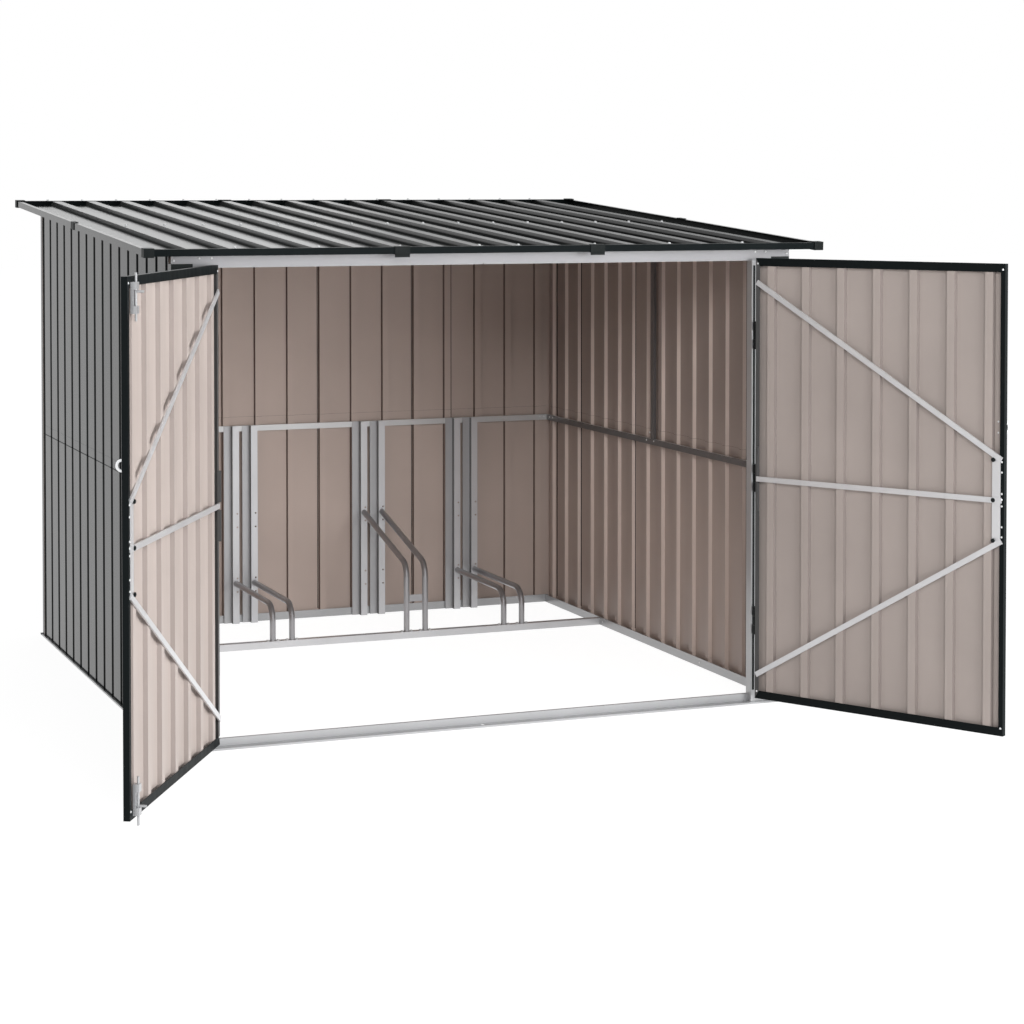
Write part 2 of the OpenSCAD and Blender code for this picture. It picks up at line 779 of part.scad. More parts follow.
module left_door_sheet() color(beige) left_door_place() door_sheet();
module left_door_frame() color(anthracite) left_door_place() door_frame();
module left_door_bracing() color(galvanised) left_door_place() door_bracing();
module left_door_hinge_leaves() color(black) left_door_place() door_hinge_leaves();
module left_door_lug() color(galvanised) left_door_place() door_lug();
module right_door_sheet() color(beige) right_door_place() door_sheet();
module right_door_frame() color(anthracite) right_door_place() door_frame();
module right_door_bracing() color(galvanised) right_door_place() door_bracing();
module right_door_hinge_leaves() color(black) right_door_place() door_hinge_leaves();
module right_door_lug() color(galvanised) right_door_place() door_lug();

front_sill();
side_base_rails();
back_base_rail();
rack_floor_rail();
left_wall_lower();
left_wall_upper();
right_wall_lower();
right_wall_upper();
back_wall_lower();
back_wall_upper();
wall_mid_rails();
jamb_posts();
front_corner_panels();
back_corner_posts();
front_header();
back_top_rail();
side_top_rails();
roof_purlin();
wall_studs();
roof_panel_left();
roof_panel_middle();
roof_panel_right();
roof_front_trim();
roof_back_trim();
roof_side_trims();
roof_corner_caps();
roof_trim_clips();
rack_uprights();
low_wheel_holders();
high_wheel_holders();
jamb_hinges();
left_door_sheet();
left_door_frame();
left_door_bracing();
left_door_hinge_leaves();
left_door_lug();
left_door_bolt_guides();
top_bolt();
bottom_bolt();
right_door_sheet();
right_door_frame();
right_door_bracing();
right_door_hinge_leaves();
right_door_lug();
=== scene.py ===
"""Looks of the bike shelter: finishes, fasteners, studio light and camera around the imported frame.

Metres, in the frame of the CAD model: +Z is up and -Y is the front.
"""

import json
import math

import bmesh
import bpy
from mathutils import Matrix, Vector


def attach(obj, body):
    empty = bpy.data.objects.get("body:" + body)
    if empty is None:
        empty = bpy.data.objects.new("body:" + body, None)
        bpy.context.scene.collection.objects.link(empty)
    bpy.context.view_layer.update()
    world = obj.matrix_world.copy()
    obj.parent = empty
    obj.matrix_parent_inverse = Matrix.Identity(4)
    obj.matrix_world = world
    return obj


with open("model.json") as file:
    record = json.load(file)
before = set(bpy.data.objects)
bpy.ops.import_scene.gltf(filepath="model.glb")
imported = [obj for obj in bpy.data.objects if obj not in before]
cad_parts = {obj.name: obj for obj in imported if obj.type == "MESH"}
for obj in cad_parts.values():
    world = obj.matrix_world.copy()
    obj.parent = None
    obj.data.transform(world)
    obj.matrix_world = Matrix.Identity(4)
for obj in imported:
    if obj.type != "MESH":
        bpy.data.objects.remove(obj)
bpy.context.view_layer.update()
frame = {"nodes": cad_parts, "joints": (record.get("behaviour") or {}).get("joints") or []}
nodes = frame["nodes"]

# Sides and directions
LEFT = -1
RIGHT = 1
SIDES = (LEFT, RIGHT)
UP = Vector((0, 0, 1))
FRONT = Vector((0, -1, 0))
ACROSS = Vector((1, 0, 0))
WALL_OUTWARD = {"left": -ACROSS, "right": ACROSS, "back": -FRONT}

# Faces are told apart by the share of their normal that points along a direction
GRAZING = 0.05
MOSTLY = 0.5
PAN_FACING = 0.6

# Camera
CAMERA_PLACE = (-2.769, -8.215, 1.727)
CAMERA_YAW = 0.3753
CAMERA_PITCH = 0.0307
CAMERA_LENS = 85.75
CAMERA_SENSOR = 36.0
CAMERA_SHIFT = -0.25

# Studio light
AMBIENT = 0.32
BACKGROUND = 1.0
LAMP_TARGET = (0, -0.6, 0.5)
LAMPS = {
    "key": {"place": (2.90, -8.56, 1.24), "size": (3, 2.4), "power": 255},
    "side": {"place": (5.63, -6.86, 1.68), "size": (3, 2.4), "power": 520},
    "front": {"place": (-1.64, -8.31, 3.68), "size": (3, 2.4), "power": 265},
    "rim": {"place": (1.15, 7.80, 4.20), "size": (2.6, 1.5), "power": 26, "glossy": True},
}
FLOOR_HALF = 40
FLOOR_DROP = 0.0006
FLOOR_ALBEDO = 0.95
FLOOR_GLOW = 0.93
FLOOR_SHADOW = 0.23

# Colours, in linear light
ANTHRACITE = (0.022, 0.025, 0.025)
TRIM_BLACK = (0.006, 0.008, 0.0085)
BEIGE = (0.50, 0.41, 0.367)
# Painted shade: the door back coat is the beige darkened, to dim the inner faces of the open leaves
DOOR_BEIGE_PAINTED_SHADE = (0.40, 0.347, 0.322)
# Painted shade: the back coat of the side walls darkens upwards to this colour
SIDE_UPPER_PAINTED_SHADE = (0.33, 0.27, 0.243)
# Painted light and shade on the rib flanks inside: lighter on the side walls, darker on the back
# wall and on the cut edges of the wall sheets
FLANK_PAINTED_LIGHT = (0.62, 0.514, 0.46)
FLANK_PAINTED_SHADE = (0.16, 0.12, 0.105)
# Painted shade on the rib flanks of each door
DOOR_FLANK_PAINTED_SHADE = {LEFT: (0.315, 0.272, 0.254), RIGHT: (0.255, 0.22, 0.206)}
# Painted light: a lighter grey than the trim for the hinge-side stile of each door frame
STILE_PAINTED_LIGHT = (0.075, 0.075, 0.075)
ZINC = (0.44, 0.445, 0.455)
# Painted shade: a darker copy of the zinc for the front header
HEADER_ZINC_PAINTED_SHADE = (0.31, 0.31, 0.322)
FLOOR_RAIL_ZINC = (0.65, 0.655, 0.67)
# Painted light on the proud faces of the rack uprights, painted shade in their recesses
PALE_ZINC_PAINTED_LIGHT = (0.66, 0.665, 0.685)
RECESS_ZINC_PAINTED_SHADE = (0.48, 0.482, 0.495)
# Painted light on the mid rails; painted shade on side faces of the rails and uprights, and on the
# wall studs
BACK_RAIL_ZINC_PAINTED_LIGHT = (0.67, 0.675, 0.68)
PAINTED_SHADE_ZINC = (0.15, 0.145, 0.145)
TUBE_ZINC = (0.36, 0.355, 0.365)
BRIGHT_ZINC = (0.78, 0.79, 0.80)
PLASTIC_BLACK = (0.012, 0.014, 0.014)
# Painted sheen on the roof: pans and rib sides lighter towards the left edge, the rib sides darker
# towards the right
PAN_SUNLIT = (0.04, 0.043, 0.043)
FLANK_SUNLIT = (0.10, 0.104, 0.104)
FLANK_SHADED = (0.012, 0.013, 0.013)

# Gloss: roughness, with the refractive index of a paint or plastic or the metal share of zinc
SHEET_GLOSS = {"roughness": 0.12, "index": 1.21}
RIB_SIDE_GLOSS = {"roughness": 0.20, "index": 1.29}
BACK_COAT_GLOSS = {"roughness": 0.42, "index": 1.45}
STILE_GLOSS = {"roughness": 0.40, "index": 1.30}
TRIM_GLOSS = {"roughness": 0.45, "index": 1.15}
BLACK_STEEL_GLOSS = {"roughness": 0.42, "index": 1.25}
PLASTIC_GLOSS = {"roughness": 0.48, "index": 1.20}
ZINC_GLOSS = {"roughness": 0.28, "metal": 0.45}
RAIL_GLOSS = {"roughness": 0.30, "metal": 0.45}
RACK_GLOSS = {"roughness": 0.34, "metal": 0.45}
TUBE_GLOSS = {"roughness": 0.28, "metal": 0.70}

# Grain: the noise of each finish, and how far tone, roughness and height follow it
NOISE_LOW = 0.3
NOISE_HIGH = 0.7
PAINT_CLOUDS = {"scale": 3.0, "detail": 3.0}
PAINT_TONE = 0.05
PAINT_STREAKS = {"scale": 9.0, "detail": 3.0, "stretch": (6.0, 6.0, 0.6)}
PAINT_STREAK_DEPTH = 0.04
PAINT_PEEL = {"scale": 700.0, "detail": 2.0}
PAINT_PEEL_BUMP = {"strength": 0.06, "distance": 0.0004}
ZINC_CLOUDS = {"scale": 5.0, "detail": 1.0}
ZINC_TONE = 0.03
PLASTIC_CLOUDS = {"scale": 40.0, "detail": 2.0}
PLASTIC_TONE = 0.12
PLASTIC_SMEARS = {"scale": 25.0, "detail": 2.0}
PLASTIC_SMEAR_DEPTH = 0.05
PLASTIC_GRAIN = {"scale": 1500.0, "detail": 1.0}
PLASTIC_GRAIN_BUMP = {"strength": 0.15, "distance": 0.0003}

# Roof: the bearing plane, and the lift of the crests and of the trim above it
RIB_PITCH = 0.13125
ROOF_PITCH = math.radians(3.44)
ROOF_HALF = 1.135
EAVE_Y = -1.098
EAVE_Z = 1.504
CREST_LIFT = 0.0185
TRIM_LIFT = 0.020
ROOF_RIBS = 8
PURLIN_ROW_Y = -0.170
FRONT_ROW_Y = -1.072
FRONT_ROW_RIBS = (0.5, 2.5, 4.5, 6.5)
BACK_ROW_Y = 1.033
BACK_ROW_STEP = -0.033

# Painted sheen on the roof, which falls from the left edge to the right, and painted shade at the
# foot of its ribs, where the gloss is taken away
SHEEN_NEAR = 1.0
SHEEN_FAR = 0.25
SHEEN_POWER = 2.0
SHEEN_INDEX = 1.0
SHEEN_GAIN = 0.60
SHEEN_ROUGHNESS = 0.22
SHEEN_SPREAD = 0.16
FOOT_SHADE_LOW = 0.007
FOOT_SHADE_HIGH = 0.011
UNSHADED_SPECULAR = 0.5

# Heights between which painted shade makes the back coat of the side walls darker upwards
SHADE_LOW = 0.45
SHADE_HIGH = 0.95

# Frame: faces of the header, the rails and the base, and the fasteners on them
HEADER_FACE = -1.043
HEADER_RIVETS = ((1.033, 1.488), (0.955, 1.495), (0.917, 1.495))
RAIL_FACE_X = 1.018
STUD_RIVETS = ((0.001, 0.795), (0.030, 0.764), (-0.034, 0.765))
RAIL_END_BOLTS = ((0.977, 0.764), (0.945, 0.764))
RAIL_FACE_Y = 1.0115
BACK_RAIL_BOLTS = ((0.988, 0.764), (1.006, 0.764))
UPSTAND_FACE = 1.015
UPSTAND_SCREWS = ((-0.430, 0.015), (0.430, 0.015))

# Wall sheets: their inner faces, and painted shadow lines, dark strips at the upright laps inside
# and at the level lap outside
SIDE_SHEET_FACE = 1.041
BACK_SHEET_FACE = 1.0345
WALL_LOW = 0.032
WALL_SPLIT = 0.805
SIDE_TOP_DROP = 0.030
SIDE_LAPS = (0.951, 0.700, 0.180, -0.7365)
SIDE_UPPER_LAPS = (-0.208,)
BACK_LAPS = (0.046, 0.440, 0.6095)
SIDE_LAP_HALF = 0.0030
BACK_LAP_HALF = 0.0013
LAP_PROUD = 0.0012
LAP_SUNK = 0.0003
SEAM_FILL = 0.0006
LEVEL_LAP_DROP = 0.031
LEVEL_LAP_HIGH = 0.0035
LEVEL_LAP_PROUD = 0.0004

# Painted shadow strips of black plastic along the jamb posts, and plastic aprons under the clips of
# the front trim
JAMB_SHADOW_MIDDLE = 0.9135
JAMB_SHADOW_HALF = 0.0040
JAMB_SHADOW_PROUD = 0.0005
JAMB_SHADOW_LOW = 0.045
JAMB_SHADOW_HIGH = 1.450
CLIP_X = 0.328125
APRON_HALF = 0.0245
APRON_FRONT = 0.0022
APRON_BEVEL = APRON_FRONT / 2
APRON_BACK = 0.0002
APRON_TOP = -0.0017
APRON_HIGH = 0.0100

# Rack: the recess in the uprights, past which their faces get painted shade, and the feet of the
# wheel holders on the floor rail
UPRIGHT_RECESS = 0.002
HOLDERS = (-0.656, -0.262, 0.262, 0.656)
TUBE_HALF_GAP = 0.037
FOOT_Y = 0.472
FOOT_Z = 0.025
FOOT_BOLT_STEP = 0.019

# Doors: the leaves are drawn in their own frame, along s from the hinge pin
LEAF_NAME = {LEFT: "left_door", RIGHT: "right_door"}
LEAF_BODY = {LEFT: "left_leaf", RIGHT: "right_leaf"}
LEAF_OUT = Vector((0, 1, 0))
DOOR_OPEN = math.radians(120)
HINGE_STILE = 0.030
LEAF_INNER = -0.012
BRACE_FACE = -0.017
PAN_FACE = 0.0033
FREE_RIVETS_S = 0.900
FREE_RIVETS_Z = (1.457, 0.868, 0.836, 0.770, 0.752, 0.732, 0.668, 0.637, 0.048)
HINGE_RIVETS_S = 0.015
HINGE_RIVETS_Z = (1.457, 0.837, 0.668, 0.048)
BRACE_BOLTS = ((0.873, 0.874), (0.873, 0.7495), (0.873, 0.625))
LUG_RIVETS = ((0.880, 0.990), (0.880, 0.956))

# Fasteners: turned profiles of (radius, height) points
TURNED_SIDES = 12
SCREW = ((0.0060, -0.0005), (0.0060, 0.0012), (0.0042, 0.0016), (0.0042, 0.0048), (0.0030, 0.0056))
RIVET = ((0.0034, -0.0005), (0.0034, 0.0005), (0.0026, 0.0015), (0.0010, 0.0020))
BOLT = ((0.0070, -0.0005), (0.0070, 0.0010), (0.0056, 0.0034), (0.0026, 0.0048))


# Shader helpers
def add_node(tree, kind, **values):
    made = tree.nodes.new(kind)
    for name, value in values.items():
        setattr(made, name, value)
    return made


def link(tree, source, target):
    tree.links.new(source, target)


def new_material(name):
    """A material with a principled shader, its node tree and the place on the object."""
    material = bpy.data.materials.new(name)
    material.use_nodes = True
    tree = material.node_tree
    tree.nodes.clear()
    output = add_node(tree, "ShaderNodeOutputMaterial")
    shader = add_node(tree, "ShaderNodeBsdfPrincipled")
    link(tree, shader.outputs["BSDF"], output.inputs["Surface"])
    place = add_node(tree, "ShaderNodeTexCoord")
    return material, tree, shader, place.outputs["Object"]


def noise(tree, place, scale, detail, stretch=None):
    source = place
    if stretch:
        mapping = add_node(tree, "ShaderNodeMapping")
        mapping.inputs["Scale"].default_value = stretch
        link(tree, place, mapping.inputs["Vector"])
        source = mapping.outputs["Vector"]
    made = add_node(tree, "ShaderNodeTexNoise")
    made.inputs["Scale"].default_value = scale
    made.inputs["Detail"].default_value = detail
    link(tree, source, made.inputs["Vector"])
    return made.outputs["Fac"]


def remap(tree, source, low, high, to_low=0.0, to_high=1.0):
    """Maps a value between low and high onto the range from to_low to to_high."""
    made = add_node(tree, "ShaderNodeMapRange")
    made.inputs["From Min"].default_value = low
    made.inputs["From Max"].default_value = high
    made.inputs["To Min"].default_value = to_low
    made.inputs["To Max"].default_value = to_high
    link(tree, source, made.inputs["Value"])
    return made.outputs["Result"]


def scaled(tree, source, gain, base):
    """A value times a gain, over a base."""
    made = add_node(tree, "ShaderNodeMath", operation="MULTIPLY_ADD")
    made.inputs[1].default_value = gain
    made.inputs[2].default_value = base
    link(tree, source, made.inputs[0])
    return made.outputs["Value"]


def blend(tree, source, low, high, start=0.0, end=1.0):
    """The colour low where a value is at the start, running over to the colour high at the end."""
    ramp = add_node(tree, "ShaderNodeValToRGB")
    first, last = ramp.color_ramp.elements
    first.position = start
    first.color = [*low, 1]
    last.position = end
    last.color = [*high, 1]
    link(tree, source, ramp.inputs["Fac"])
    return ramp.outputs["Color"]


def clouded(tree, source, colour, change):
    """A colour that is a share darker and lighter where a noise is low and high."""
    dark = [c * (1 - change) for c in colour]
    light = [c * (1 + change) for c in colour]
    return blend(tree, source, dark, light, NOISE_LOW, NOISE_HIGH)


def varied(tree, source, middle, depth):
    """A value that follows a noise by a depth to either side of its middle."""
    return remap(tree, source, NOISE_LOW, NOISE_HIGH, middle - depth, middle + depth)


def bump(tree, source, shader, strength, distance):
    made = add_node(tree, "ShaderNodeBump")
    made.inputs["Strength"].default_value = strength
    made.inputs["Distance"].default_value = distance
    link(tree, source, made.inputs["Height"])
    link(tree, made.outputs["Normal"], shader.inputs["Normal"])


def parts_of(tree, place):
    parts = add_node(tree, "ShaderNodeSeparateXYZ")
    link(tree, place, parts.inputs["Vector"])
    return parts.outputs


# Materials
def painted(name, colour, roughness, index):
    """Coil-coated sheet steel: slight cloudiness and a fine orange peel."""
    material, tree, shader, place = new_material(name)
    clouds = noise(tree, place, **PAINT_CLOUDS)
    link(tree, clouded(tree, clouds, colour, PAINT_TONE), shader.inputs["Base Color"])
    streaks = noise(tree, place, **PAINT_STREAKS)
    gloss = varied(tree, streaks, roughness, PAINT_STREAK_DEPTH)
    link(tree, gloss, shader.inputs["Roughness"])
    shader.inputs["IOR"].default_value = index
    bump(tree, noise(tree, place, **PAINT_PEEL), shader, **PAINT_PEEL_BUMP)
    return material


def shaded_coat(name, low, high, roughness, index):
    """The back coat of the side walls, with painted shade that makes it darker in the upper half
    under the eaves.
    """
    material, tree, shader, place = new_material(name)
    height = remap(tree, parts_of(tree, place)["Z"], SHADE_LOW, SHADE_HIGH)
    link(tree, blend(tree, height, low, high), shader.inputs["Base Color"])
    shader.inputs["Roughness"].default_value = roughness
    shader.inputs["IOR"].default_value = index
    return material


def roof_sheen(tree, x):
    """Painted sheen: full at the left edge of the roof, falling to a trace at the right edge."""
    across = remap(tree, x, -ROOF_HALF, ROOF_HALF, SHEEN_NEAR, SHEEN_FAR)
    sheen = add_node(tree, "ShaderNodeMath", operation="POWER")
    sheen.inputs[1].default_value = SHEEN_POWER
    link(tree, across, sheen.inputs[0])
    return sheen.outputs["Value"]


def roof_coat(name, near, far):
    """The pans and crests of the roof, with painted sheen: the colour, the roughness and the index,
    and so the reflection, fall off across it.
    """
    material, tree, shader, place = new_material(name)
    sheen = roof_sheen(tree, parts_of(tree, place)["X"])
    link(tree, blend(tree, sheen, far, near), shader.inputs["Base Color"])
    link(tree, scaled(tree, sheen, SHEEN_SPREAD, SHEEN_ROUGHNESS), shader.inputs["Roughness"])
    link(tree, scaled(tree, sheen, SHEEN_GAIN, SHEEN_INDEX), shader.inputs["IOR"])
    return material


def roof_flank(name, near, far, roughness, index):
    """The steep sides of the roof ribs: painted sheen falls off across the roof, and painted shade
    takes the gloss away towards the foot.
    """
    material, tree, shader, place = new_material(name)
    parts = parts_of(tree, place)
    sheen = roof_sheen(tree, parts["X"])
    link(tree, blend(tree, sheen, far, near), shader.inputs["Base Color"])
    shader.inputs["Roughness"].default_value = roughness
    shader.inputs["IOR"].default_value = index
    slope = math.tan(ROOF_PITCH)
    level = add_node(tree, "ShaderNodeMath", operation="MULTIPLY_ADD")
    level.inputs[1].default_value = -slope
    link(tree, parts["Y"], level.inputs[0])
    link(tree, parts["Z"], level.inputs[2])
    foot = EAVE_Z - EAVE_Y * slope
    low = foot + FOOT_SHADE_LOW
    high = foot + FOOT_SHADE_HIGH
    gloss = remap(tree, level.outputs["Value"], low, high, to_high=UNSHADED_SPECULAR)
    link(tree, gloss, shader.inputs["Specular IOR Level"])
    return material


def galvanised(name, colour, roughness, metal):
    """Smooth galvanised strip with a faint cloud in its tone."""
    material, tree, shader, place = new_material(name)
    clouds = noise(tree, place, **ZINC_CLOUDS)
    link(tree, clouded(tree, clouds, colour, ZINC_TONE), shader.inputs["Base Color"])
    shader.inputs["Roughness"].default_value = roughness
    shader.inputs["Metallic"].default_value = metal
    return material


def moulded(name, colour, roughness, index):
    """Black moulded plastic with a fine grain."""
    material, tree, shader, place = new_material(name)
    clouds = noise(tree, place, **PLASTIC_CLOUDS)
    link(tree, clouded(tree, clouds, colour, PLASTIC_TONE), shader.inputs["Base Color"])
    smears = noise(tree, place, **PLASTIC_SMEARS)
    gloss = varied(tree, smears, roughness, PLASTIC_SMEAR_DEPTH)
    link(tree, gloss, shader.inputs["Roughness"])
    shader.inputs["IOR"].default_value = index
    bump(tree, noise(tree, place, **PLASTIC_GRAIN), shader, **PLASTIC_GRAIN_BUMP)
    return material


sheet_outside = painted("anthracite_sheet", ANTHRACITE, **SHEET_GLOSS)
# Painted sheen across the roof, and painted shade at the foot of the rib sides
roof_outside = roof_coat("anthracite_roof_painted_sheen", PAN_SUNLIT, ANTHRACITE)
rib_sides = roof_flank("anthracite_rib_sides_painted_sheen_and_shade", FLANK_SUNLIT, FLANK_SHADED, **RIB_SIDE_GLOSS)
sheet_inside = painted("beige_back_coat", BEIGE, **BACK_COAT_GLOSS)
# Painted shade on the back coat of the side walls, darker upwards
side_inside_painted_shade = shaded_coat("side_back_coat_painted_shade", BEIGE, SIDE_UPPER_PAINTED_SHADE, **BACK_COAT_GLOSS)
# Painted light and painted shade for the inner rib flanks; the shaded one also goes on cut edges
flank_painted_light = painted("rib_flank_painted_light", FLANK_PAINTED_LIGHT, **BACK_COAT_GLOSS)
flank_painted_shade = painted("rib_flank_painted_shade", FLANK_PAINTED_SHADE, **BACK_COAT_GLOSS)
# Painted shade: a darkened beige for the doors' back coat
door_inside_painted_shade = painted("door_back_coat_painted_shade", DOOR_BEIGE_PAINTED_SHADE, **BACK_COAT_GLOSS)
# Painted shade on the rib flanks of each door
door_flank_painted_shade = {
    side: painted(LEAF_NAME[side] + "_rib_flank_painted_shade", DOOR_FLANK_PAINTED_SHADE[side], **BACK_COAT_GLOSS)
    for side in SIDES
}
# Painted light on the hinge-side stiles
stile_in_painted_light = painted("hinge_stile_in_painted_light", STILE_PAINTED_LIGHT, **STILE_GLOSS)
trim_paint = painted("anthracite_trim_paint", TRIM_BLACK, **TRIM_GLOSS)
black_steel = painted("black_steel", TRIM_BLACK, **BLACK_STEEL_GLOSS)
zinc = galvanised("galvanised_steel", ZINC, **ZINC_GLOSS)
# Painted shade on the front header
header_zinc_painted_shade = galvanised("galvanised_header_painted_shade", HEADER_ZINC_PAINTED_SHADE, **ZINC_GLOSS)
tube_zinc = galvanised("galvanised_tube", TUBE_ZINC, **TUBE_GLOSS)
floor_zinc = galvanised("galvanised_floor_rail", FLOOR_RAIL_ZINC, **RAIL_GLOSS)
# Painted shade on side faces of rails and uprights, and on the wall studs
painted_shade_zinc = galvanised("galvanised_painted_shade", PAINTED_SHADE_ZINC, **RAIL_GLOSS)
bright_zinc = galvanised("zinc_fasteners", BRIGHT_ZINC, **RAIL_GLOSS)
# Painted light on the proud faces of the rack uprights, painted shade in their recesses
pale_zinc_painted_light = galvanised("galvanised_rack_painted_light", PALE_ZINC_PAINTED_LIGHT, **RACK_GLOSS)
recess_zinc_painted_shade = galvanised("galvanised_recess_painted_shade", RECESS_ZINC_PAINTED_SHADE, **RACK_GLOSS)
# Painted light on the mid rails
rail_zinc_painted_light = galvanised("galvanised_back_rail_painted_light", BACK_RAIL_ZINC_PAINTED_LIGHT, **RACK_GLOSS)
plastic = moulded("black_plastic", PLASTIC_BLACK, **PLASTIC_GLOSS)


# Finishes on the CAD nodes
def leaf_frame(side):
    """The frame of a leaf as it stands: s along it, out through it and up from its pin."""
    pin = next(joint["pos_m"] for joint in frame["joints"] if joint["child"] == LEAF_BODY[side])
    turn = math.pi + DOOR_OPEN
    along = Vector((side * math.cos(turn), math.sin(turn), 0))
    out = Vector((-side * math.sin(turn), math.cos(turn), 0))
    stand = Matrix((along, out, UP)).transposed()
    return Matrix.Translation(pin) @ stand.to_4x4()


leaf_place = {side: leaf_frame(side) for side in SIDES}


def finish_node(name, *materials):
    """Puts materials into the slots of a node, and returns its mesh."""
    mesh = nodes[name].data
    mesh.materials.clear()
    for material in materials:
        mesh.materials.append(material)
    return mesh


def finish_nodes(material, *names):
    for name in names:
        finish_node(name, material)


def two_sided(name, outward, inside, flank):
    """Paints a sheet anthracite outside and beige inside; the rib flanks get the given colour,
    painted light on the side walls and painted shade on the back wall and the doors, and the cut
    edges get painted shade.
    """
    mesh = finish_node(name, sheet_outside, inside, flank, flank_painted_shade)
    outer, inner, rib_side, cut_edge = range(len(mesh.materials))
    for face in mesh.polygons:
        inward = -face.normal.dot(outward)
        if abs(face.normal.z) > MOSTLY:
            face.material_index = cut_edge
        elif inward > PAN_FACING:
            face.material_index = inner
        elif inward > GRAZING:
            face.material_index = rib_side
        else:
            face.material_index = outer


def dress_walls():
    for level in ("lower", "upper"):
        for wall in ("left", "right"):
            # Side walls: painted shade on the back coat, darker upwards, and painted light on the
            # rib flanks
            two_sided(wall + "_wall_" + level, WALL_OUTWARD[wall], side_inside_painted_shade, flank_painted_light)
        # Back wall: painted shade on the rib flanks
        two_sided("back_wall_" + level, WALL_OUTWARD["back"], sheet_inside, flank_painted_shade)
    mesh = finish_node("back_corner_posts", sheet_outside, sheet_inside)
    outer, inner = range(len(mesh.materials))
    for face in mesh.polygons:
        from_middle = Vector((face.center.x, face.center.y, 0))
        face.material_index = inner if face.normal.dot(from_middle) < 0 else outer
    finish_nodes(sheet_outside, "front_corner_panels")


def dress_roof():
    for part in ("left", "middle", "right"):
        # Painted sheen on the pans and crests; painted sheen and shade on the rib sides
        mesh = finish_node("roof_panel_" + part, roof_outside, sheet_inside, rib_sides)
        upper, under, rib_side = range(len(mesh.materials))
        for face in mesh.polygons:
            if face.normal.z < -GRAZING:
                face.material_index = under
            elif face.normal.z < MOSTLY:
                face.material_index = rib_side
            else:
                face.material_index = upper
    finish_nodes(sheet_outside, "roof_side_trims")
    finish_nodes(trim_paint, "roof_front_trim", "roof_back_trim")
    finish_nodes(plastic, "roof_corner_caps", "roof_trim_clips")


def dress_frame():
    finish_nodes(zinc, "front_sill", "side_base_rails", "back_base_rail", "jamb_posts")
    finish_nodes(zinc, "back_top_rail", "side_top_rails", "roof_purlin")
    # Painted shade: the darker zinc on the front header
    finish_nodes(header_zinc_painted_shade, "front_header")
    # Painted shade on the wall studs
    finish_nodes(painted_shade_zinc, "wall_studs")
    finish_nodes(black_steel, "jamb_hinges")
    # Painted light on the front and level faces of the mid rails, painted shade on their side faces
    mesh = finish_node("wall_mid_rails", rail_zinc_painted_light, painted_shade_zinc)
    lit, shaded = range(len(mesh.materials))
    for face in mesh.polygons:
        face.material_index = shaded if abs(face.normal.x) > MOSTLY else lit


def dress_rack():
    finish_nodes(floor_zinc, "rack_floor_rail")
    finish_nodes(tube_zinc, "low_wheel_holders", "high_wheel_holders")
    # Painted light on the proud faces of the uprights, painted shade in their recesses and on their
    # side faces
    mesh = finish_node("rack_uprights", pale_zinc_painted_light, recess_zinc_painted_shade, painted_shade_zinc)
    proud, recessed, shaded = range(len(mesh.materials))
    recess_y = min(vertex.co.y for vertex in mesh.vertices) + UPRIGHT_RECESS
    for face in mesh.polygons:
        if abs(face.normal.x) > MOSTLY:
            face.material_index = shaded
        elif face.center.y > recess_y:
            face.material_index = recessed
        else:
            face.material_index = proud


def dress_doors():
    for side, place in leaf_place.items():
        door = LEAF_NAME[side]
        # Painted shade on the doors' back coat and rib flanks
        two_sided(door + "_sheet", place.to_3x3() @ LEAF_OUT, door_inside_painted_shade, door_flank_painted_shade[side])
        # Painted light: the hinge-side stile is a lighter grey than the rest of the frame
        mesh = finish_node(door + "_frame", trim_paint, stile_in_painted_light)
        trim, stile = range(len(mesh.materials))
        to_leaf = place.inverted()
        for face in mesh.polygons:
            face.material_index = stile if (to_leaf @ face.center).x < HINGE_STILE else trim
        finish_nodes(floor_zinc, door + "_bracing")
        finish_nodes(black_steel, door + "_hinge_leaves")
        finish_nodes(bright_zinc, door + "_lug")
    finish_nodes(zinc, "left_door_bolt_guides", "top_bolt", "bottom_bolt")


dress_walls()
dress_roof()
dress_frame()
dress_rack()
dress_doors()


# Small fittings: turned fasteners and drawn strips, joined into one piece per finish and body
def turned(shape, profile, place, axis):
    """Adds a profile, revolved round an axis that starts at a place."""
    verts, faces = shape
    first = len(verts)
    turn = UP.rotation_difference(axis).to_matrix()
    for radius, height in profile:
        for n in range(TURNED_SIDES):
            angle = 2 * math.pi * n / TURNED_SIDES
            corner = Vector((radius * math.cos(angle), radius * math.sin(angle), height))
            verts.append(place + turn @ corner)
    for ring in range(first, len(verts) - TURNED_SIDES, TURNED_SIDES):
        upper = ring + TURNED_SIDES
        for n in range(TURNED_SIDES):
            after = (n + 1) % TURNED_SIDES
            faces.append((ring + n, ring + after, upper + after, upper + n))
    faces.append(tuple(range(first + TURNED_SIDES - 1, first - 1, -1)))
    faces.append(tuple(range(len(verts) - TURNED_SIDES, len(verts))))


def prism(shape, ring, run):
    """Adds the solid that a ring of corners sweeps along a run."""
    verts, faces = shape
    first = len(verts)
    verts.extend(ring)
    other = len(verts)
    verts.extend(corner + run for corner in ring)
    for n in range(len(ring)):
        after = (n + 1) % len(ring)
        faces.append((first + n, first + after, other + after, other + n))
    faces.append(tuple(range(other - 1, first - 1, -1)))
    faces.append(tuple(range(other, len(verts))))


def drawn(shape, section, place, across, out, run):
    """Adds a section of (across, out) points, drawn along a run that starts at a place."""
    prism(shape, [place + across * a + out * o for a, o in section], run)


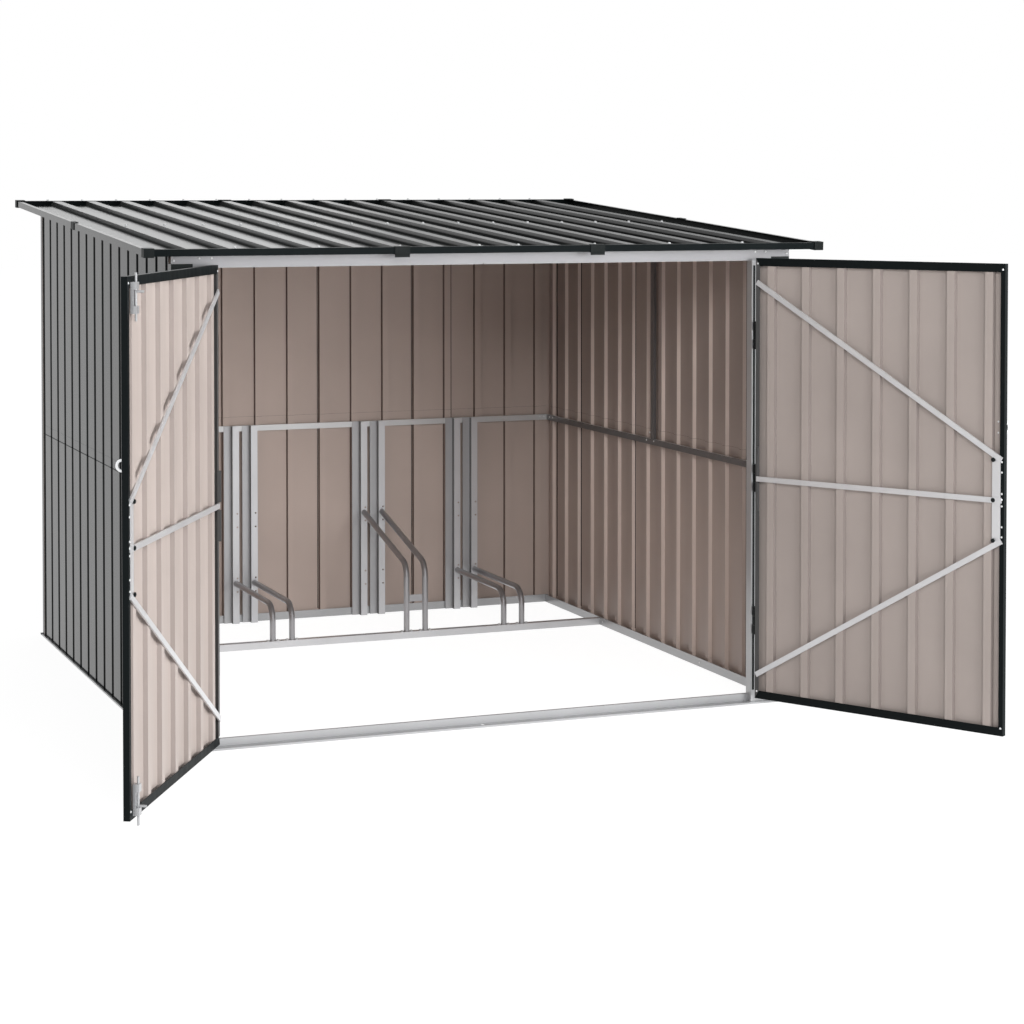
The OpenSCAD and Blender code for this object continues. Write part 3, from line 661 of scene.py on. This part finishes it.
def add_piece(name, shape, material, body):
    mesh = bpy.data.meshes.new(name)
    mesh.from_pydata(shape[0], [], shape[1])
    work = bmesh.new()
    work.from_mesh(mesh)
    bmesh.ops.recalc_face_normals(work, faces=work.faces)
    work.to_mesh(mesh)
    work.free()
    mesh.materials.append(material)
    piece = bpy.data.objects.new(name, mesh)
    bpy.context.scene.collection.objects.link(piece)
    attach(piece, body)


def roof_rise(y):
    """How far the bearing plane of the roof has risen from the eave."""
    return (y - EAVE_Y) * math.tan(ROOF_PITCH)


def roof_point(x, y, lift):
    """A point at a lift over the bearing plane of the roof, and the plane's normal."""
    normal = Vector((0, -math.sin(ROOF_PITCH), math.cos(ROOF_PITCH)))
    return Vector((x, y, EAVE_Z + roof_rise(y))) + normal * lift, normal


def add_roof_screws():
    shape = ([], [])
    for n in range(-ROOF_RIBS, ROOF_RIBS):
        x = (n + 0.5) * RIB_PITCH
        turned(shape, SCREW, *roof_point(x, PURLIN_ROW_Y, CREST_LIFT))
        turned(shape, SCREW, *roof_point(x + BACK_ROW_STEP, BACK_ROW_Y, TRIM_LIFT))
    for n in FRONT_ROW_RIBS:
        for side in SIDES:
            turned(shape, SCREW, *roof_point(side * n * RIB_PITCH, FRONT_ROW_Y, CREST_LIFT))
    add_piece("roof_screws", shape, bright_zinc, "shed")


def add_frame_fasteners():
    shape = ([], [])
    for side in SIDES:
        inward = -side * ACROSS
        for x, z in HEADER_RIVETS:
            turned(shape, RIVET, Vector((side * x, HEADER_FACE, z)), FRONT)
        for y, z in STUD_RIVETS + RAIL_END_BOLTS:
            turned(shape, RIVET, Vector((side * RAIL_FACE_X, y, z)), inward)
        for x, z in BACK_RAIL_BOLTS:
            turned(shape, RIVET, Vector((side * x, RAIL_FACE_Y, z)), FRONT)
        for y, z in UPSTAND_SCREWS:
            turned(shape, RIVET, Vector((side * UPSTAND_FACE, y, z)), inward)
    for holder in HOLDERS:
        for tube in (-TUBE_HALF_GAP, TUBE_HALF_GAP):
            for step in (-FOOT_BOLT_STEP, FOOT_BOLT_STEP):
                turned(shape, BOLT, Vector((holder + tube + step, FOOT_Y, FOOT_Z)), UP)
    add_piece("frame_fasteners", shape, bright_zinc, "shed")


def lap_section(half):
    """The section of a painted shadow strip at the edge of a sheet that lies on the next one,
    bevelled on one side.
    """
    return ((-half, -LAP_SUNK), (half, -LAP_SUNK), (half, LAP_PROUD), (LAP_PROUD - half, LAP_PROUD))


def add_sheet_laps():
    """Painted shadow: dark strips where the wall sheets lap, on the inner side of the pans."""
    shape = ([], [])
    eave_top = EAVE_Z - SIDE_TOP_DROP
    section = lap_section(SIDE_LAP_HALF)
    for side in SIDES:
        for y in SIDE_LAPS + SIDE_UPPER_LAPS:
            low = WALL_SPLIT if y in SIDE_UPPER_LAPS else WALL_LOW
            run = (eave_top + roof_rise(y) - low) * UP
            place = Vector((side * SIDE_SHEET_FACE, y, low))
            drawn(shape, section, place, -FRONT, -side * ACROSS, run)
    section = lap_section(BACK_LAP_HALF)
    run = (eave_top + roof_rise(BACK_SHEET_FACE) - WALL_LOW) * UP
    for x in BACK_LAPS:
        drawn(shape, section, Vector((x, BACK_SHEET_FACE, WALL_LOW)), ACROSS, FRONT, run)
    add_piece("sheet_lap_painted_shadows", shape, trim_paint, "shed")


def add_wall_seams():
    """Closes the joint under each upper wall sheet with a dark strip, and draws the lapped edge
    below it as a painted shadow line.
    """
    shape = ([], [])
    for wall, outward in WALL_OUTWARD.items():
        to_lap = LEVEL_LAP_PROUD * outward - LEVEL_LAP_DROP * UP
        mesh = nodes[wall + "_wall_upper"].data
        for face in mesh.polygons:
            if face.normal.z < -MOSTLY:
                edge = [mesh.vertices[n].co.copy() for n in face.vertices]
                prism(shape, edge, -SEAM_FILL * UP)
                prism(shape, [corner + to_lap for corner in edge], -LEVEL_LAP_HIGH * UP)
    add_piece("wall_seam_painted_shadows", shape, trim_paint, "shed")


def add_frame_plastics():
    shape = ([], [])
    # Painted shadow: a dark strip along the front of each jamb post
    jamb_shadow_strip = (
        (-JAMB_SHADOW_HALF, -JAMB_SHADOW_PROUD), (JAMB_SHADOW_HALF, -JAMB_SHADOW_PROUD),
        (JAMB_SHADOW_HALF, 0), (0, JAMB_SHADOW_PROUD), (-JAMB_SHADOW_HALF, 0),
    )
    apron = (
        (-APRON_HALF, APRON_BACK), (APRON_HALF, APRON_BACK),
        (APRON_HALF, APRON_BEVEL), (APRON_HALF - APRON_BEVEL, APRON_FRONT),
        (APRON_BEVEL - APRON_HALF, APRON_FRONT), (-APRON_HALF, APRON_BEVEL),
    )
    for side in SIDES:
        foot = Vector((side * JAMB_SHADOW_MIDDLE, HEADER_FACE, JAMB_SHADOW_LOW))
        drawn(shape, jamb_shadow_strip, foot, ACROSS, FRONT, (JAMB_SHADOW_HIGH - JAMB_SHADOW_LOW) * UP)
        top, normal = roof_point(side * CLIP_X, EAVE_Y, APRON_TOP)
        drawn(shape, apron, top, ACROSS, ACROSS.cross(normal), -normal * APRON_HIGH)
    add_piece("frame_plastics_and_painted_shadows", shape, plastic, "shed")


def add_door_fasteners(side):
    place = leaf_place[side]
    inward = -(place.to_3x3() @ LEAF_OUT)
    rivets = ([], [])
    for s, heights in ((FREE_RIVETS_S, FREE_RIVETS_Z), (HINGE_RIVETS_S, HINGE_RIVETS_Z)):
        for z in heights:
            turned(rivets, RIVET, place @ Vector((s, LEAF_INNER, z)), inward)
    for s, z in LUG_RIVETS:
        turned(rivets, RIVET, place @ Vector((s, PAN_FACE, z)), inward)
    add_piece(LEAF_NAME[side] + "_rivets", rivets, bright_zinc, LEAF_BODY[side])
    bolts = ([], [])
    for s, z in BRACE_BOLTS:
        turned(bolts, BOLT, place @ Vector((s, BRACE_FACE, z)), inward)
    add_piece(LEAF_NAME[side] + "_brace_bolts", bolts, black_steel, LEAF_BODY[side])


add_roof_screws()
add_frame_fasteners()
add_sheet_laps()
add_wall_seams()
add_frame_plastics()
for leaf_side in SIDES:
    add_door_fasteners(leaf_side)


# Studio
def seen_directly(tree):
    """1 for camera, glossy and transmission rays, and 0 for the light on surfaces."""
    path = add_node(tree, "ShaderNodeLightPath")
    either = add_node(tree, "ShaderNodeMath", operation="MAXIMUM")
    link(tree, path.outputs["Is Camera Ray"], either.inputs[0])
    link(tree, path.outputs["Is Glossy Ray"], either.inputs[1])
    every = add_node(tree, "ShaderNodeMath", operation="MAXIMUM")
    link(tree, either.outputs["Value"], every.inputs[0])
    link(tree, path.outputs["Is Transmission Ray"], every.inputs[1])
    return every.outputs["Value"]


def make_world():
    world = bpy.data.worlds.new("studio")
    bpy.context.scene.world = world
    world.use_nodes = True
    tree = world.node_tree
    tree.nodes.clear()
    output = add_node(tree, "ShaderNodeOutputWorld")
    background = add_node(tree, "ShaderNodeBackground")
    background.inputs["Color"].default_value = (1, 1, 1, 1)
    strength = remap(tree, seen_directly(tree), 0, 1, AMBIENT, BACKGROUND)
    link(tree, strength, background.inputs["Strength"])
    link(tree, background.outputs["Background"], output.inputs["Surface"])


def diffuse(tree, albedo):
    made = add_node(tree, "ShaderNodeBsdfDiffuse")
    made.inputs["Color"].default_value = (albedo, albedo, albedo, 1)
    return made.outputs["BSDF"]


def floor_finish():
    """White as seen, with the shadow of the object, and a plain pale floor to the light."""
    material = bpy.data.materials.new("pale_floor")
    material.use_nodes = True
    tree = material.node_tree
    tree.nodes.clear()
    output = add_node(tree, "ShaderNodeOutputMaterial")
    glow = add_node(tree, "ShaderNodeEmission")
    glow.inputs["Strength"].default_value = FLOOR_GLOW
    shown = add_node(tree, "ShaderNodeAddShader")
    link(tree, glow.outputs["Emission"], shown.inputs[0])
    link(tree, diffuse(tree, FLOOR_SHADOW), shown.inputs[1])
    mix = add_node(tree, "ShaderNodeMixShader")
    link(tree, seen_directly(tree), mix.inputs["Fac"])
    link(tree, diffuse(tree, FLOOR_ALBEDO), mix.inputs[1])
    link(tree, shown.outputs["Shader"], mix.inputs[2])
    link(tree, mix.outputs["Shader"], output.inputs["Surface"])
    return material


def make_floor():
    corners = ((-1, -1), (1, -1), (1, 1), (-1, 1))
    verts = [(FLOOR_HALF * x, FLOOR_HALF * y, -FLOOR_DROP) for x, y in corners]
    mesh = bpy.data.meshes.new("floor")
    mesh.from_pydata(verts, [], [(0, 1, 2, 3)])
    mesh.materials.append(floor_finish())
    floor = bpy.data.objects.new("floor", mesh)
    bpy.context.scene.collection.objects.link(floor)


def make_lamp(name, place, size, power, glossy=False):
    lamp = bpy.data.lights.new(name, "AREA")
    lamp.shape = "RECTANGLE"
    lamp.size, lamp.size_y = size
    lamp.energy = power
    softbox = bpy.data.objects.new(name, lamp)
    softbox.location = place
    aim = Vector(LAMP_TARGET) - Vector(place)
    softbox.rotation_euler = aim.to_track_quat("-Z", "Y").to_euler()
    softbox.visible_glossy = glossy
    bpy.context.scene.collection.objects.link(softbox)


def make_camera():
    lens = bpy.data.cameras.new("camera")
    lens.lens = CAMERA_LENS
    lens.sensor_width = CAMERA_SENSOR
    lens.shift_y = CAMERA_SHIFT
    camera = bpy.data.objects.new("camera", lens)
    camera.location = CAMERA_PLACE
    camera.rotation_euler = (math.pi / 2 - CAMERA_PITCH, 0, -CAMERA_YAW)
    bpy.context.scene.collection.objects.link(camera)
    bpy.context.scene.camera = camera


make_world()
make_floor()
for lamp_name, settings in LAMPS.items():
    make_lamp(lamp_name, **settings)
make_camera()
bpy.context.scene.view_settings.view_transform = "Standard"
